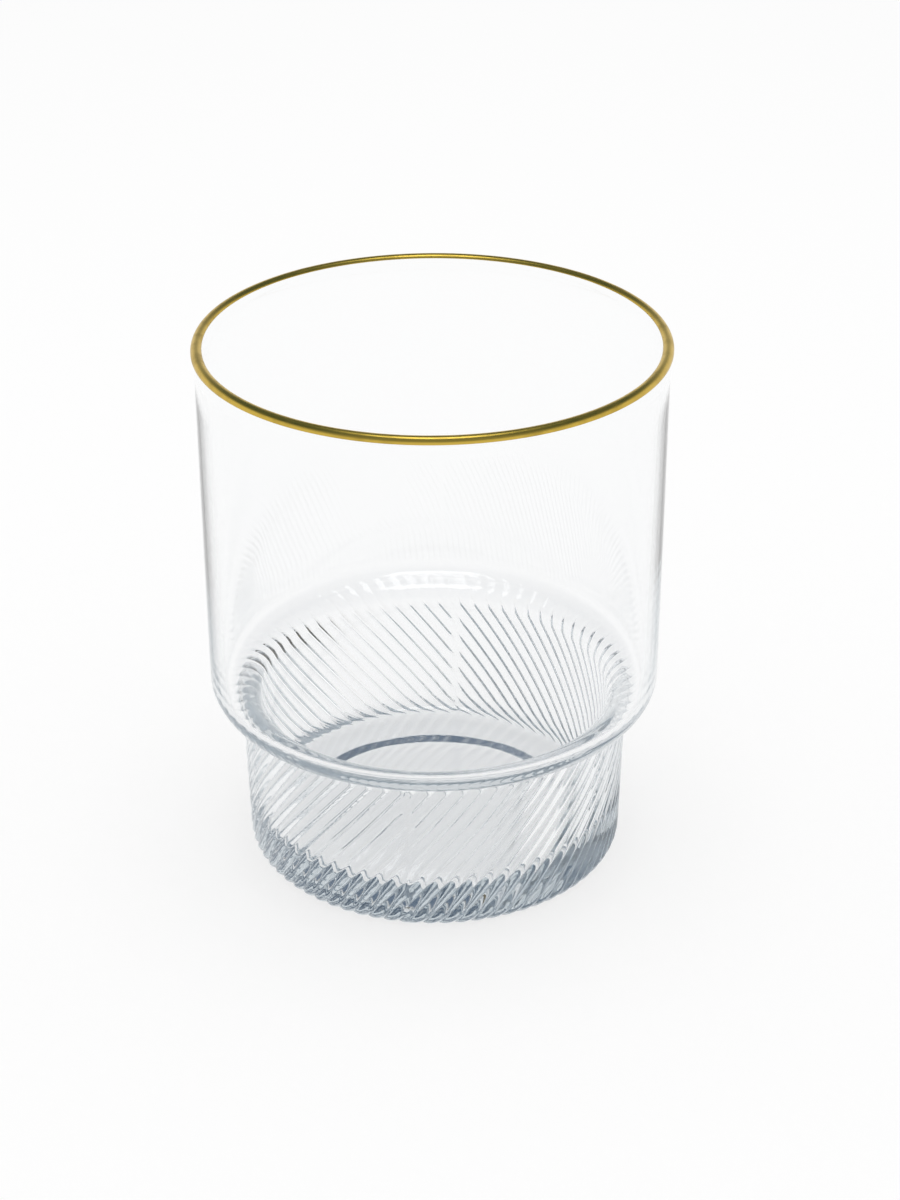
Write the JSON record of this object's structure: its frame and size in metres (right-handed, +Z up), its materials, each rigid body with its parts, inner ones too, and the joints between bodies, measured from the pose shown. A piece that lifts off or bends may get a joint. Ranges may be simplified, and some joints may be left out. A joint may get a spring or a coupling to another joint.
{
  "type": "tea glass",
  "caption": "Clear stacking tea glass with a straight bowl, a stepped shoulder, a narrower foot with slanted ribs and a gold lip.",
  "frame": {"origin": "on the glass's axis, at the level of the standing ring under the base", "axes": "+Z up along the axis of the glass, towards the lip; X and Y are alike apart from the turn of the ribs"},
  "size_m": [0.0828, 0.0828, 0.0991],
  "materials": {
    "clear_glass": "clear polished pressed glass",
    "gold": "bright fired-on gold"
  },
  "bodies": {
    "root": {"glass_body": "clear_glass", "gold_rim": "gold"}
  },
  "joints": []
}
